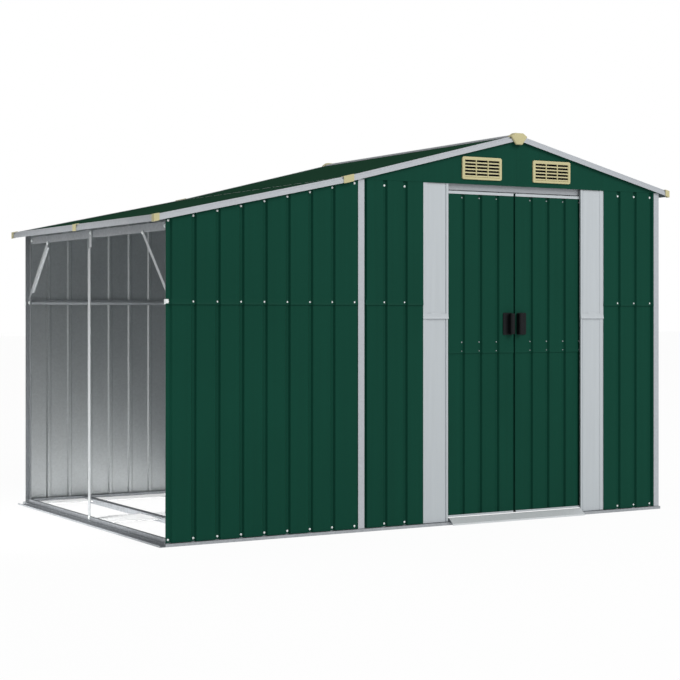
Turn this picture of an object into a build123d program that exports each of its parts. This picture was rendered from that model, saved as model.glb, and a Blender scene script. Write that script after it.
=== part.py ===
"""Metal storage shed: a gabled room with sliding doors and an open lean-to on its left."""

import os
from math import atan, cos, hypot

from build123d import *

# Whole shed, in millimetres: x along the front, y to the back, z up from the ground.
# Sizes are set out from the lean-to's front left corner and moved to the middle at the end.
room_width = 1731.0
lean_to_width = 922.0
shed_depth = 1751.0
gable_foot = 1562.0
eave_rise = 10.5
gable_rise = 231.0
lean_to_fall = 198.0
room_eave_overhang = 55.5
lean_to_eave_overhang = 61.5
verge_overhang = 15.0

# Sheet metal and fits
sheet = 1.0
strip = 1.5
seat_gap = 0.3
overrun = 50.0

# Ribs pressed into the wall, door and roof sheets
rib_mouth = 24.0
rib_floor = 12.0
rib_depth = 9.0
roof_rib_depth = 6.0
lean_to_rib_pitch = 111.6
lean_to_first_rib = 14.0
room_rib_pitch = 107.0
left_front_first_rib = 18.0
right_front_first_rib = 93.5
right_front_rib_pitch = 101.5
rib_edge = 20.0
roof_rib_pitch = 107.0

# Courses of wall sheets
wall_foot = 15.0
wall_seam = 1004.5
wall_lap = 24.0
gable_lap = 7.0

# Base rails, stepped on all sides, with a wider sill at the open end
rail_foot = 18.0
sill_reach = 34.0
sill_lip = 8.0
rail_toe = 6.0
rail_step_height = 11.5
rail_height = 27.0
rail_inner = 24.0
rail_inner_lip = 8.0

# Floor rails and plates of the lean-to
floor_rail_place = 305.0
floor_rail_width = 33.0
floor_rail_height = 25.0
floor_plate_top = 16.0
floor_plate_lip = 4.0
middle_plate_width = 228.0
end_plate_width = 134.0

# Posts, girts, beam, braces and purlins
post_face = 31.6
post_web = 40.0
post_foot = 14.5
lean_to_post_inset = 17.6
lean_to_post_leg = 30.0
girt_height = 23.0
girt_depth = 14.0
girt_rise = 19.5
beam_drop = 58.0
beam_height = 34.0
beam_flange = 22.0
beam_splice = 100.0
beam_joint_gap = 50.0
beam_joint_shift = 39.0
open_end_joint = 893.0
centre_post_width = 28.0
centre_post_leg = 12.0
centre_post_joggle = 6.0
centre_post_joggle_height = 84.0
brace_width = 18.0
brace_flange = 12.0
brace_lap = 10.0
brace_beam_reach = 272.0
brace_drop = 277.0
brace_foot_height = 40.0
brace_flange_shares = (0.12, 0.92)
purlin_width = 30.0
purlin_web = 30.0

# Doorway, doors and track
doorway_half = 383.0
jamb_width = 138.0
jamb_border = 20.0
jamb_edge = 11.0
jamb_recess = 2.5
jamb_groove = 2.2
jamb_seam = 943.0
jamb_lap = 24.0
jamb_foot = 16.0
jamb_hidden_lap = 18.0
door_setback = 18.5
door_leaf_width = 410.0
door_meeting_gap = 9.0
door_rail_inset = 1.0
door_rib_pitch = 97.5
door_rib_count = 4
door_floor_gap = 5.0
door_seam = 783.0
door_lap = 64.0
door_rail = 24.0
door_top_lip = 12.5
door_foot_lip = 8.0
door_stile = 16.0
door_stile_inset = 14.0
door_frame_depth = 14.0
track_drop = 27.0
track_height = 22.0
apron_rise = 14.0
track_width = 36.0
track_lip = 12.0
track_slot = 20.0
door_neck = 12.0
door_top_gap = 5.0
glide_length = 40.0
glide_height = 11.0
glide_side_gap = 3.0
glide_inset = 30.0
threshold_reach = 29.0
threshold_nose = 7.0
threshold_side_gap = 3.0
threshold_bearing = 1.2

# Handles
handle_width = 53.0
handle_height = 103.0
handle_foot = 867.0
handle_meeting_inset = 13.0
handle_plate = 4.0
handle_corner = 6.0
grip_width = 24.0
grip_length = 97.0
grip_reach = 30.0
grip_bevel = 5.0
grip_lip = 9.0
grip_scoop = 6.0
grip_rounding = 4.0

# Gable vents
vent_width = 222.0
vent_height = 105.0
vent_rise = 22.0
vent_offset = 201.0
vent_plate = 7.0
vent_corner = 10.0
vent_rounding = 2.5
vent_border = 14.0
vent_top_border = 15.0
vent_columns = 3
vent_rows = 5
vent_row_pitch = 15.4
vent_bar = 4.0
vent_slot_height = 9.5
vent_tilt = 2.0
vent_groove = 2.5
vent_groove_height = 3.0
vent_rise_share = 0.15
vent_hole_margin = 10.0

# Trims and caps of the roof
trim_height = 27.0
trim_step = 9.0
trim_set = 4.0
trim_flange = 22.0
ridge_gap = 6.0
ridge_cap_half = 40.0
ridge_cap_rise = 5.0
roof_lap = 25.0
cap_wall = 2.5
cap_length = 22.0
cap_drop = 2.0
break_cap_half = 26.0
joint_cap_half = 20.0
joint_cap_length = 14.0
peak_cap_half = 47.0
peak_flat_half = 23.5
peak_foot_half = 17.5
peak_rise = 7.0
peak_drop = 47.0
peak_stand = 9.0
peak_bevel = 3.0

# Places that follow from the sizes above
shed_right = lean_to_width + room_width
ridge_x = lean_to_width + room_width / 2
gable_half = room_width / 2 + room_eave_overhang
break_x = ridge_x - gable_half
right_eave = ridge_x + gable_half
left_eave = -lean_to_eave_overhang
middle_y = shed_depth / 2
gable_eave_height = gable_foot + eave_rise
ridge_height = gable_eave_height + gable_rise
lean_to_eave_height = gable_eave_height - lean_to_fall
wall_top = gable_foot + gable_lap
beam_foot = lean_to_eave_height - beam_drop
track_foot = gable_foot - track_drop
track_top = track_foot + track_height
track_apron = gable_foot + apron_rise
vent_foot = gable_foot + vent_rise
wall_stack = 2 * sheet + seat_gap + rib_depth
inner_face = wall_stack + seat_gap
post_skin = strip + seat_gap
cap_skin = seat_gap + cap_wall
room_left = lean_to_width + post_skin
post_middle = lean_to_width + post_face / 2
gable_slope = gable_rise / gable_half
lean_to_slope = lean_to_fall / (break_x - left_eave)
crest_drop = post_skin / cos(atan(gable_slope))
nest = sheet + seat_gap
roof_drop = (post_skin + roof_rib_depth + nest) / cos(atan(gable_slope))
lean_to_drop = roof_drop + nest / cos(atan(lean_to_slope))
rail_top = rail_height + strip
rail_face = rail_toe + strip
rail_inside = rail_inner + strip + seat_gap
left_jamb_edge = ridge_x - doorway_half
right_jamb_edge = ridge_x + doorway_half
jamb_plane = 2 * nest
door_foot = rail_top + door_floor_gap
door_top = track_foot - door_top_gap
door_lip = door_setback - post_skin
door_frame_front = door_setback + wall_stack + seat_gap
door_frame_back = door_frame_front + door_frame_depth
door_middle = door_frame_front + door_frame_depth / 2

nodes = {}


# Folded sheets and prisms

def offset_path(points, distance):
    """Shift a folded line to its left by a distance, keeping each bend sharp."""
    normals = []
    for (ax, ay), (bx, by) in zip(points, points[1:]):
        length = hypot(bx - ax, by - ay)
        normals.append(((ay - by) / length, (bx - ax) / length))
    moved = []
    for (px, py), before, after in zip(points, normals[:1] + normals, normals + normals[-1:]):
        scale = distance / (1 + before[0] * after[0] + before[1] * after[1])
        moved.append((px + scale * (before[0] + after[0]), py + scale * (before[1] + after[1])))
    return moved


def band(points, thickness, near=0):
    """Outline of a folded sheet lying to the left of a line."""
    return offset_path(points, near) + offset_path(points, near + thickness)[::-1]


def prism(plane, outline, run):
    """Extrude an outline drawn in a plane along the plane's normal, or against it if negative."""
    face = plane * make_face(Polyline(*outline, close=True))
    return extrude(face, amount=run, dir=plane.z_dir)


def upright(outline, foot, top):
    """Prism of an outline in x and y, between two heights."""
    return prism(Plane.XY.offset(foot), outline, top - foot)


def across(outline, front, back):
    """Prism of an outline in x and z, from front to back."""
    return prism(Plane.XZ.offset(-front), outline, front - back)


def lengthwise(outline, left, right):
    """Prism of an outline in y and z, from left to right."""
    return prism(Plane.YZ.offset(left), outline, right - left)


def block(left, right, front, back, foot, top):
    """Plain rectangular block between six faces."""
    return upright([(left, front), (right, front), (right, back), (left, back)], foot, top)


def front_to_back(part):
    """The same piece on the other side of the shed's middle, front for back."""
    return mirror(part, Plane.XZ.offset(-middle_y))


def left_to_right(part):
    """The same piece on the other side of the ridge line."""
    return mirror(part, Plane.YZ.offset(ridge_x))


# Roof line

def roof_line(x):
    """Height of the top of the trims over a place along the front."""
    if x < break_x:
        return gable_eave_height - lean_to_slope * (break_x - x)
    return ridge_height - gable_slope * abs(x - ridge_x)


def roof_points(left, right, shift):
    """Points of the roof line between two places, with its breaks, moved up by a shift."""
    bends = [x for x in (break_x, ridge_x) if left < x < right]
    return [(x, roof_line(x) + shift) for x in [left, *bends, right]]


def roof_slab(left, right, top, foot, front, back):
    """Slab that follows the roof line, between two heights measured from it."""
    outline = roof_points(left, right, top) + roof_points(left, right, foot)[::-1]
    return across(outline, front, back)


# Ribbed sheets

def rib_places(length, first, pitch):
    """Places of the ribs that fit on a sheet after its first one."""
    count = int((length - first - rib_mouth / 2 - rib_edge) // pitch) + 1
    return [first + pitch * index for index in range(count)]


def centred_ribs(length, pitch):
    """Places of as many ribs as fit on a sheet, with equal margins at its two ends."""
    count = int((length - rib_mouth - 2 * rib_edge) // pitch) + 1
    first = (length - (count - 1) * pitch) / 2
    return rib_places(length, first, pitch)


def rib_line(length, places, depth):
    """Folded line of a sheet with trapezoid ribs pressed inwards; one may open the sheet."""
    points = []
    for place in places:
        mouth = [(place - rib_mouth / 2, 0), (place - rib_floor / 2, depth)]
        points += mouth if mouth[0][0] > rib_floor else [(0, depth)]
        points += [(place + rib_floor / 2, depth), (place + rib_mouth / 2, 0)]
    if places[0] > rib_mouth / 2 + rib_floor:
        points = [(0, 0), *points]
    return points + [(length, 0)]


def wall_plane(x, y, direction):
    """Plane of a wall's plan: local x runs along the wall, local y into the shed."""
    return Plane(origin=(x, y, 0), x_dir=direction, z_dir=(0, 0, 1))


def courses(plane, length, places, foot, seam, lap, top):
    """Lower and upper sheets of a ribbed wall; the upper one laps over the lower outside."""
    line = rib_line(length, places, rib_depth)
    lower = prism(plane.offset(foot), band(line, sheet, nest), seam + lap - foot)
    upper = prism(plane.offset(seam), band(line, sheet), top - seam)
    return [lower, upper]


def wall(plane, length, places):
    """Both courses of a wall that stands on the base rail and reaches the roof frame."""
    return courses(plane, length, places, wall_foot, wall_seam, wall_lap, wall_top)


# Base and floor

def base_rail_outline(foot):
    """Stepped section of a base rail above its foot: inward distance and height."""
    line = [
        *foot,
        (-rail_toe, rail_step_height),
        (inner_face + strip, rail_step_height),
        (inner_face + strip, rail_height),
        (rail_inner, rail_height),
        (rail_inner, rail_height - rail_inner_lip),
    ]
    return band(line, strip)


def base_rails():
    """Rails round the plan, mitred where they meet; the open end's sill has a lipped outer flange."""
    plain = base_rail_outline([(rail_foot, strip), (-rail_toe, strip)])
    lipped = base_rail_outline([(-sill_reach, sill_lip), (-sill_reach, 0), (-rail_toe, 0)])
    reach = 2 * rail_inside
    far_right, far_back = shed_right + rail_face, shed_depth + rail_face
    long_plan = [
        (-rail_face, -rail_face),
        (far_right, -rail_face),
        (shed_right - reach, reach),
        (reach, reach),
    ]
    side_plan = [
        (-reach, -rail_face),
        (-rail_face, -rail_face),
        (reach, reach),
        (reach, shed_depth - reach),
        (-rail_face, far_back),
        (-reach, far_back),
    ]
    ends = upright(side_plan, -overrun, overrun)
    front = lengthwise(plain, -rail_face, far_right) & upright(long_plan, -overrun, overrun)
    sill, right = [across(outline, -rail_face, far_back) & ends for outline in (lipped, plain)]
    nodes["base_front_rail"] = [front]
    nodes["base_back_rail"] = [front_to_back(front)]
    nodes["base_left_rail"] = [sill]
    nodes["base_right_rail"] = [mirror(right, Plane.YZ.offset(shed_right / 2))]


def trough(left, right, height):
    """Upward channel section between two sides."""
    return band([(left, height), (left, 0), (right, 0), (right, height)], strip)


def floor_frame():
    """Rails from front to back and low plates between them, as seen through the open end."""
    rail_end = floor_rail_place + floor_rail_width
    wall_rail = room_left + inner_face
    lean_to_rail = across(trough(floor_rail_place, rail_end, floor_rail_height), rail_inside,
                          shed_depth - rail_inside)
    room_rail = across(trough(wall_rail, wall_rail + floor_rail_width, rail_height),
                       post_web + seat_gap, shed_depth - post_web - seat_gap)
    nodes["floor_rails"] = [lean_to_rail, room_rail]
    half = middle_plate_width / 2
    rows = [
        (rail_inside, rail_inside + end_plate_width),
        (middle_y - half, middle_y + half),
        (shed_depth - rail_inside - end_plate_width, shed_depth - rail_inside),
    ]
    bays = [(rail_inside, floor_rail_place - seat_gap), (rail_end + seat_gap, room_left - seat_gap)]
    plates = []
    for front, back in rows:
        low = floor_plate_top - floor_plate_lip
        line = [(back, low), (back, floor_plate_top), (front, floor_plate_top), (front, low)]
        plates += [lengthwise(band(line, strip), left, right) for left, right in bays]
    nodes["floor_plates"] = plates


def threshold():
    """Sloped sill in front of the doors, from the base rail's top down to the ground."""
    top = rail_top + seat_gap
    line = [
        (inner_face + threshold_bearing, top),
        (0, top),
        (-threshold_reach, threshold_nose),
        (-threshold_reach, 0),
    ]
    left = left_jamb_edge + threshold_side_gap
    right = right_jamb_edge - threshold_side_gap
    nodes["door_threshold"] = [lengthwise(band(line[::-1], strip), left, right)]


# Posts and frame

def room_posts():
    """T posts where the room meets the lean-to, and angle posts on the right corners."""
    top = gable_foot - seat_gap
    left, right = lean_to_width, lean_to_width + post_face
    web = strip / 2
    outer = shed_right + post_skin
    face = block(left, right, -post_skin, -seat_gap, post_foot, top)
    foot = rail_top + seat_gap
    tee = face + block(post_middle - web, post_middle + web, -post_skin, post_web, foot, top)
    line = [
        (outer - post_face, -post_skin),
        (outer, -post_skin),
        (outer, post_face - post_skin),
    ]
    angle = upright(band(line, strip), post_foot, top)
    nodes["front_left_post"] = [tee]
    nodes["back_left_post"] = [front_to_back(tee)]
    nodes["front_right_post"] = [angle]
    nodes["back_right_post"] = [front_to_back(angle)]


def lean_to_posts():
    """Angle posts inside the free ends of the lean-to's walls, cut under the roof."""
    near = inner_face + strip
    line = [
        (lean_to_post_inset + strip, near + lean_to_post_leg),
        (lean_to_post_inset + strip, inner_face),
        (0, inner_face),
    ]
    post = upright(band(line[::-1], strip), rail_top + seat_gap, wall_top)
    post &= below_roof(0, lean_to_width)
    nodes["lean_to_front_post"] = [post]
    nodes["lean_to_back_post"] = [front_to_back(post)]


def below_roof(left, right):
    """Everything under the roof sheets between two places, to cut sloping tops with."""
    outline = roof_points(left, right, -lean_to_drop) + [(right, -overrun), (left, -overrun)]
    return across(outline, -overrun, shed_depth + overrun)


def eave_beam():
    """Channel along the open end in two halves, with a splice across the gap between them."""
    end = inner_face + strip + lean_to_post_leg + seat_gap
    joint = open_end_joint - beam_joint_shift
    top = beam_foot + beam_height
    far = lean_to_post_inset + beam_flange
    line = [(far, beam_foot), (lean_to_post_inset, beam_foot), (lean_to_post_inset, top), (far, top)]
    halves = [
        across(band(line, -strip), end, joint - beam_joint_gap / 2),
        across(band(line, -strip), joint + beam_joint_gap / 2, shed_depth - end),
    ]
    behind = lean_to_post_inset + post_skin
    low, high = beam_foot + post_skin, top - post_skin
    splice_line = [(far, low), (behind, low), (behind, high), (far, high)]
    splice = across(band(splice_line, -strip), joint - beam_splice / 2, joint + beam_splice / 2)
    nodes["lean_to_eave_beam"] = [*halves, splice]


def centre_post():
    """Light angle in the open end, joggled inwards to the end of the beam's back half."""
    outer = lean_to_post_inset - seat_gap - strip
    foot_x = outer - centre_post_joggle
    top = beam_foot + beam_height
    bend = top - centre_post_joggle_height
    front = open_end_joint - centre_post_width / 2
    back = front + centre_post_width
    line = [
        (foot_x, rail_step_height + post_skin),
        (foot_x, bend),
        (outer, bend + centre_post_joggle),
        (outer, top),
    ]
    face = across(band(line, -strip), front, back)
    leg = block(foot_x, foot_x + centre_post_leg, back - strip, back, rail_top + seat_gap, bend)
    nodes["lean_to_centre_post"] = [face + leg]


def braces():
    """Diagonal angles from the beam's lower edge to the posts, with an upright foot on the post."""
    outer = lean_to_post_inset - seat_gap
    post_side = inner_face + strip
    top = beam_foot + brace_lap
    low = top - brace_drop
    slant = [
        (post_side, low - brace_foot_height),
        (post_side, low),
        (post_side + brace_beam_reach, top),
    ]
    bar = lengthwise(band(slant, -brace_width), outer - strip, outer)
    free = [(post_side + share * brace_beam_reach, low + share * brace_drop) for share in brace_flange_shares]
    brace = bar + lengthwise(band(free, strip, -brace_width), outer - strip, outer + brace_flange)
    nodes["lean_to_braces"] = [brace, front_to_back(brace)]


def girt(plane, length):
    """Folded rail along a wall's inner face at the seam of its courses, its lower half sloping back."""
    middle = wall_seam + girt_rise
    foot, top = middle - girt_height / 2, middle + girt_height / 2
    far = inner_face + girt_depth - strip
    line = [(inner_face, foot), (far, middle), (far, top), (inner_face, top)]
    section = Plane(origin=plane.origin, x_dir=plane.y_dir, z_dir=plane.x_dir)
    return prism(section, band(line, -strip), length)


def girts():
    """Rails behind the seams of the lean-to's walls, the back, the right and the left wall."""
    lean_to_span = lean_to_width - lean_to_post_inset - 2 * strip
    start = lean_to_post_inset + post_skin
    front = girt(wall_plane(start, 0, (1, 0, 0)), lean_to_span)
    back_start = post_middle + post_web
    side_start = inner_face + girt_depth + seat_gap
    side_span = shed_depth - 2 * (post_web + seat_gap)
    right_far = shed_right - side_start
    back = girt(wall_plane(right_far, shed_depth, (-1, 0, 0)), right_far - back_start)
    right = girt(wall_plane(shed_right, post_web + seat_gap, (0, 1, 0)), side_span)
    left = girt(wall_plane(room_left, shed_depth - post_web - seat_gap, (0, -1, 0)), side_span)
    nodes["lean_to_girts"] = [front, front_to_back(front)]
    nodes["room_girts"] = [back, right, left]


# Walls

def walls():
    """Ribbed walls of the room and of the lean-to."""
    near_post = strip / 2 + seat_gap
    left_start = post_middle + near_post
    left_length = left_jamb_edge - jamb_width - left_start
    right_start = right_jamb_edge + jamb_width
    right_length = shed_right - right_start
    lean_to_length = post_middle - near_post
    side_length = shed_depth - 2 * inner_face
    front = (1, 0, 0)
    lean_to_ribs = rib_places(lean_to_length, lean_to_first_rib, lean_to_rib_pitch)
    lean_to = wall(wall_plane(0, 0, front), lean_to_length, lean_to_ribs)
    lean_to = [course & below_roof(-overrun, shed_right) for course in lean_to]
    left_ribs = rib_places(left_length, left_front_first_rib, room_rib_pitch)
    right_ribs = rib_places(right_length, right_front_first_rib, right_front_rib_pitch)
    back_length = shed_right - left_start
    back_ribs = centred_ribs(back_length, room_rib_pitch)
    side_ribs = centred_ribs(side_length, room_rib_pitch)
    nodes["lean_to_front_wall"] = lean_to
    nodes["lean_to_back_wall"] = [front_to_back(course) for course in lean_to]
    nodes["front_wall_left"] = wall(wall_plane(left_start, 0, front), left_length, left_ribs)
    nodes["front_wall_right"] = wall(wall_plane(right_start, 0, front), right_length, right_ribs)
    nodes["back_wall"] = wall(wall_plane(shed_right, shed_depth, (-1, 0, 0)), back_length, back_ribs)
    nodes["right_wall"] = wall(wall_plane(shed_right, inner_face, (0, 1, 0)), side_length, side_ribs)
    left_length = shed_depth - 2 * rail_inside
    left_ribs = centred_ribs(left_length, room_rib_pitch)
    left_plane = wall_plane(room_left, shed_depth - rail_inside, (0, -1, 0))
    nodes["left_wall"] = wall(left_plane, left_length, left_ribs)


def jambs():
    """Pale panels behind the wall sheets' ends, dished, with a groove beside the doorway's border."""
    edge = left_jamb_edge
    dish = jamb_plane + jamb_recess
    outer, inner = edge - jamb_width + jamb_border, edge - jamb_edge
    line = [
        (edge - jamb_width - jamb_hidden_lap, jamb_plane),
        (outer, jamb_plane),
        (outer + jamb_recess, dish),
        (inner - 2 * jamb_groove, dish),
        (inner - jamb_groove, dish + jamb_groove),
        (inner, jamb_plane),
        (edge, jamb_plane),
        (edge, wall_stack),
    ]
    lower = upright(band(line, sheet, nest), jamb_foot, jamb_seam + jamb_lap)
    upper = upright(band(line, sheet), jamb_seam, gable_foot - seat_gap)
    nodes["door_jamb_left"] = [lower, upper]
    nodes["door_jamb_right"] = [left_to_right(course) for course in (lower, upper)]


# Doors

def track():
    """Channel open downwards, set back from the front wall and hung from it by a lipped apron."""
    front = door_middle - track_width / 2
    back = front + track_width
    slot_front = door_middle - track_slot / 2
    slot_back = door_middle + track_slot / 2
    left, right = post_middle + post_skin, shed_right - post_face
    rib_back = rib_depth + nest
    hanger = [
        (rib_back, track_apron - track_lip),
        (rib_back, track_apron),
        (front + strip, track_apron),
        (front + strip, track_top - strip),
    ]
    lip = track_foot + strip
    outline = [
        (front, track_foot),
        (slot_front, track_foot),
        (slot_front, lip),
        (front + strip, lip),
        (front + strip, track_top - strip),
        (back - strip, track_top - strip),
        (back - strip, lip),
        (slot_back, lip),
        (slot_back, track_foot),
        (back, track_foot),
        (back, track_top),
        (front, track_top),
    ]
    nodes["door_track"] = [lengthwise(outline, left, right) + lengthwise(band(hanger, -strip), left, right)]


def door_sheets(start):
    """Lower and upper ribbed sheets of the right leaf."""
    length = door_leaf_width - door_meeting_gap / 2
    places = [door_rib_pitch * (index + 1) - door_meeting_gap / 2 for index in range(door_rib_count)]
    plane = wall_plane(start, door_setback, (1, 0, 0))
    foot = door_foot + post_skin
    return courses(plane, length, places, foot, door_seam, door_lap, door_top - post_skin)


def door_frame(start):
    """Channels round the right leaf's sheets, lipped over them in front, with glides in the track."""
    left, right = start + door_rail_inset, ridge_x + door_leaf_width
    front, back = door_frame_front, door_frame_back
    top_line = [
        (back, door_top - door_rail),
        (back, door_top),
        (door_lip, door_top),
        (door_lip, door_top - door_top_lip),
    ]
    foot_line = [
        (door_lip, door_foot + door_foot_lip),
        (door_lip, door_foot),
        (back, door_foot),
        (back, door_foot + door_rail),
    ]
    top_rail, foot_rail = [lengthwise(band(line, strip), left, right) for line in (top_line, foot_line)]
    stile_foot = door_foot + door_rail + seat_gap
    stile_top = door_top - door_rail - seat_gap
    stiles = []
    for side in (left + door_stile_inset, right - door_stile):
        far = side + door_stile
        line = [(side, back), (side, front), (far, front), (far, back)]
        stiles.append(upright(band(line, strip), stile_foot, stile_top))
    for side in (left + glide_inset, right - glide_inset - glide_length):
        top_rail += glide(side)
    return [foot_rail, top_rail, *stiles]


def glide(left):
    """Plastic glide that rides on the track's two lips, with its neck down through the slot."""
    right = left + glide_length
    foot = track_foot + post_skin
    reach = track_width / 2 - strip - glide_side_gap
    half_neck = door_neck / 2
    neck = block(left, right, door_middle - half_neck, door_middle + half_neck, door_top - strip, foot)
    return neck + block(left, right, door_middle - reach, door_middle + reach, foot, foot + glide_height)


def handle():
    """Right leaf's pull: a rounded plate with an upright grip, scooped for the fingers on one side."""
    left = ridge_x + handle_meeting_inset
    centre_z = handle_foot + handle_height / 2
    back = door_setback - seat_gap
    plane = Plane(origin=(left + handle_width / 2, back, centre_z), x_dir=(1, 0, 0), z_dir=(0, -1, 0))
    plate = extrude(plane * RectangleRounded(handle_width, handle_height, handle_corner), handle_plate)
    front, seat = back - grip_reach, back - handle_plate
    right = left + grip_width
    outline = [
        (left, seat),
        (left, front + grip_bevel),
        (left + grip_bevel, front),
        (right - grip_bevel, front),
        (right, front + grip_bevel),
        (right, front + grip_bevel + grip_lip),
        (right - grip_scoop, front + grip_bevel + grip_lip + grip_scoop),
        (right - grip_scoop, seat),
    ]
    grip = upright(outline, centre_z - grip_length / 2, centre_z + grip_length / 2)
    front_edges = grip.edges().filter_by(Axis.X).group_by(Axis.Y)[0]
    return plate + fillet(front_edges, grip_rounding)


def doors():
    """Two leaves that meet at the middle of the doorway and slide apart behind the front wall."""
    start = ridge_x + door_meeting_gap / 2
    sheets = door_sheets(start)
    frame = door_frame(start)
    pull = handle()
    nodes["right_door_panel"] = sheets
    nodes["right_door_frame"] = frame
    nodes["right_door_handle"] = [pull]
    nodes["left_door_panel"] = [left_to_right(course) for course in sheets]
    nodes["left_door_frame"] = [left_to_right(bar) for bar in frame]
    nodes["left_door_handle"] = [left_to_right(pull)]


# Gables and vents

def gables():
    """Plain gable sheets in two halves, front ones with openings behind the vents."""
    middle = ridge_x - seat_gap / 2
    slope = roof_points(lean_to_width, middle, -roof_drop)
    outline = [(lean_to_width, gable_foot), (middle, gable_foot), *slope[::-1]]
    half = across(outline, -nest, -seat_gap)
    nodes["back_gable"] = [front_to_back(half), front_to_back(left_to_right(half))]
    vent_x = ridge_x - vent_offset
    hole_half = vent_width / 2 - vent_hole_margin
    hole = block(vent_x - hole_half, vent_x + hole_half, -overrun, overrun,
                 vent_foot + vent_hole_margin, vent_foot + vent_height - vent_hole_margin)
    nodes["front_gable_left"] = [half - hole]
    nodes["front_gable_right"] = [left_to_right(half - hole)]


def louvre(front, back, high):
    """Section of one slot that rises inwards, with the blade under it leaning back."""
    low = high - vent_slot_height
    blade_low = high - vent_row_pitch
    rise = vent_rise_share * (back - front)
    return [
        (front - overrun, high),
        (front - overrun, blade_low),
        (front, blade_low),
        (front + vent_tilt, low),
        (back, low + rise),
        (back, high + rise),
        (front, high),
    ]


def vent():
    """Left vent: a rounded plate with columns of louvred slots over a closed groove."""
    back = -nest - seat_gap
    front = back - vent_plate
    vent_x = ridge_x - vent_offset
    vent_z = vent_foot + vent_height / 2
    plane = Plane(origin=(vent_x, back, vent_z), x_dir=(1, 0, 0), z_dir=(0, -1, 0))
    plate = extrude(plane * RectangleRounded(vent_width, vent_height, vent_corner), vent_plate)
    plate = fillet(plate.faces().sort_by(Axis.Y)[0].edges(), vent_rounding)
    field_width = vent_width - 2 * vent_border
    field_top = vent_foot + vent_height - vent_top_border
    slot_width = (field_width - vent_bar * (vent_columns - 1)) / vent_columns
    groove_top = field_top - vent_rows * vent_row_pitch
    cuts = []
    for column in range(vent_columns):
        left = vent_x - field_width / 2 + column * (slot_width + vent_bar)
        right = left + slot_width
        groove_foot = groove_top - vent_groove_height
        cuts.append(block(left, right, front - overrun, front + vent_groove, groove_foot, groove_top))
        for row in range(vent_rows):
            cuts.append(lengthwise(louvre(front, back, field_top - row * vent_row_pitch), left, right))
    return plate - cuts


def vents():
    """Louvred vents on the two halves of the front gable."""
    left = vent()
    nodes["vent_left"] = [left]
    nodes["vent_right"] = [left_to_right(left)]


# Roof

def roof_sheet(x_start, x_end, height, slope, downhill, near=0):
    """Ribbed roof sheet from its upper edge, at a height, to its lower one; ribs run down the slope."""
    front = trim_set + post_skin - verge_overhang
    length = shed_depth - 2 * front
    fall = hypot(1, slope)
    run = abs(x_end - x_start) * fall
    start = front if downhill < 0 else shed_depth - front
    plane = Plane(
        origin=(x_start, start, height),
        x_dir=(0, -downhill, 0),
        z_dir=(downhill / fall, 0, -slope / fall),
    )
    line = rib_line(length, centred_ribs(length, roof_rib_pitch), roof_rib_depth)
    return prism(plane, band(line, sheet, near), run)


def roof():
    """Sheets of the three slopes, the lean-to's lapped under the room's, and the cap over the ridge."""
    eave_gap = trim_set + post_skin
    top = ridge_height - gable_slope * ridge_gap - crest_drop
    lap_top = gable_eave_height + lean_to_slope * roof_lap - crest_drop
    nodes["roof_right"] = [roof_sheet(ridge_x + ridge_gap, right_eave - eave_gap, top, gable_slope, 1)]
    nodes["roof_left"] = [roof_sheet(ridge_x - ridge_gap, break_x, top, gable_slope, -1)]
    nodes["roof_lean_to"] = [
        roof_sheet(break_x + roof_lap, left_eave + eave_gap, lap_top, lean_to_slope, -1, nest)
    ]
    front = cap_length - verge_overhang + seat_gap
    left, right = ridge_x - ridge_cap_half, ridge_x + ridge_cap_half
    ends = front, shed_depth - front
    cap = roof_slab(left, right, ridge_cap_rise, ridge_cap_rise - strip, *ends)
    for side in (left, right - strip):
        cap += roof_slab(side, side + strip, ridge_cap_rise, -crest_drop + seat_gap, *ends)
    nodes["ridge_cap"] = [cap]


def purlin(left, top):
    """Inverted angle under the roof sheets, from front to back."""
    end = inner_face + strip
    flange = roof_slab(left, left + purlin_width, top, top - strip, end, shed_depth - end)
    web = roof_slab(left, left + strip, top, top - purlin_web, end, shed_depth - end)
    return flange + web


def purlins():
    """Purlins at the middle of each slope and over the side walls, and the ridge beam."""
    half = purlin_width / 2
    wall_purlin = room_left + inner_face
    middles = [(break_x + ridge_x) / 2, (ridge_x + right_eave) / 2]
    nodes["room_purlins"] = [
        purlin(wall_purlin, -roof_drop),
        *[purlin(middle - half, -roof_drop) for middle in middles],
        purlin(ridge_x - half, -roof_drop),
        left_to_right(purlin(wall_purlin, -roof_drop)),
    ]
    nodes["lean_to_purlin"] = [purlin(lean_to_width / 2 - half, -lean_to_drop)]


def stepped(slab):
    """Trim with a proud lower face, a narrow set-back upper one and a flange over the roof sheet."""
    shelf = -trim_step - strip
    lower = slab(0, strip, -trim_step, -trim_height) + slab(0, trim_set + strip, -trim_step, shelf)
    upper = slab(trim_set, trim_set + strip, 0, shelf) + slab(trim_set, trim_flange, 0, -strip)
    return lower + upper


def verge_trim(left, right):
    """Trim along the front verge between two places."""
    def slab(near, far, top, foot):
        return roof_slab(left, right, top, foot, near - verge_overhang, far - verge_overhang)

    return stepped(slab)


def eave_trim(eave, inward):
    """Trim along an eave, between the verge trims."""
    front = trim_flange - verge_overhang + seat_gap

    def slab(near, far, top, foot):
        sides = sorted((eave + inward * near, eave + inward * far))
        return roof_slab(*sides, top, foot, front, shed_depth - front)

    return stepped(slab)


def trims():
    """Silver edge strips along the verges and the eaves."""
    joint = seat_gap / 2
    spans = [(left_eave, break_x - joint), (break_x + joint, ridge_x - joint), (ridge_x + joint, right_eave)]
    verges = [verge_trim(left, right) for left, right in spans]
    nodes["front_verge_trims"] = verges
    nodes["back_verge_trims"] = [front_to_back(trim) for trim in verges]
    nodes["eave_trims"] = [eave_trim(left_eave, 1), eave_trim(right_eave, -1)]


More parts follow.
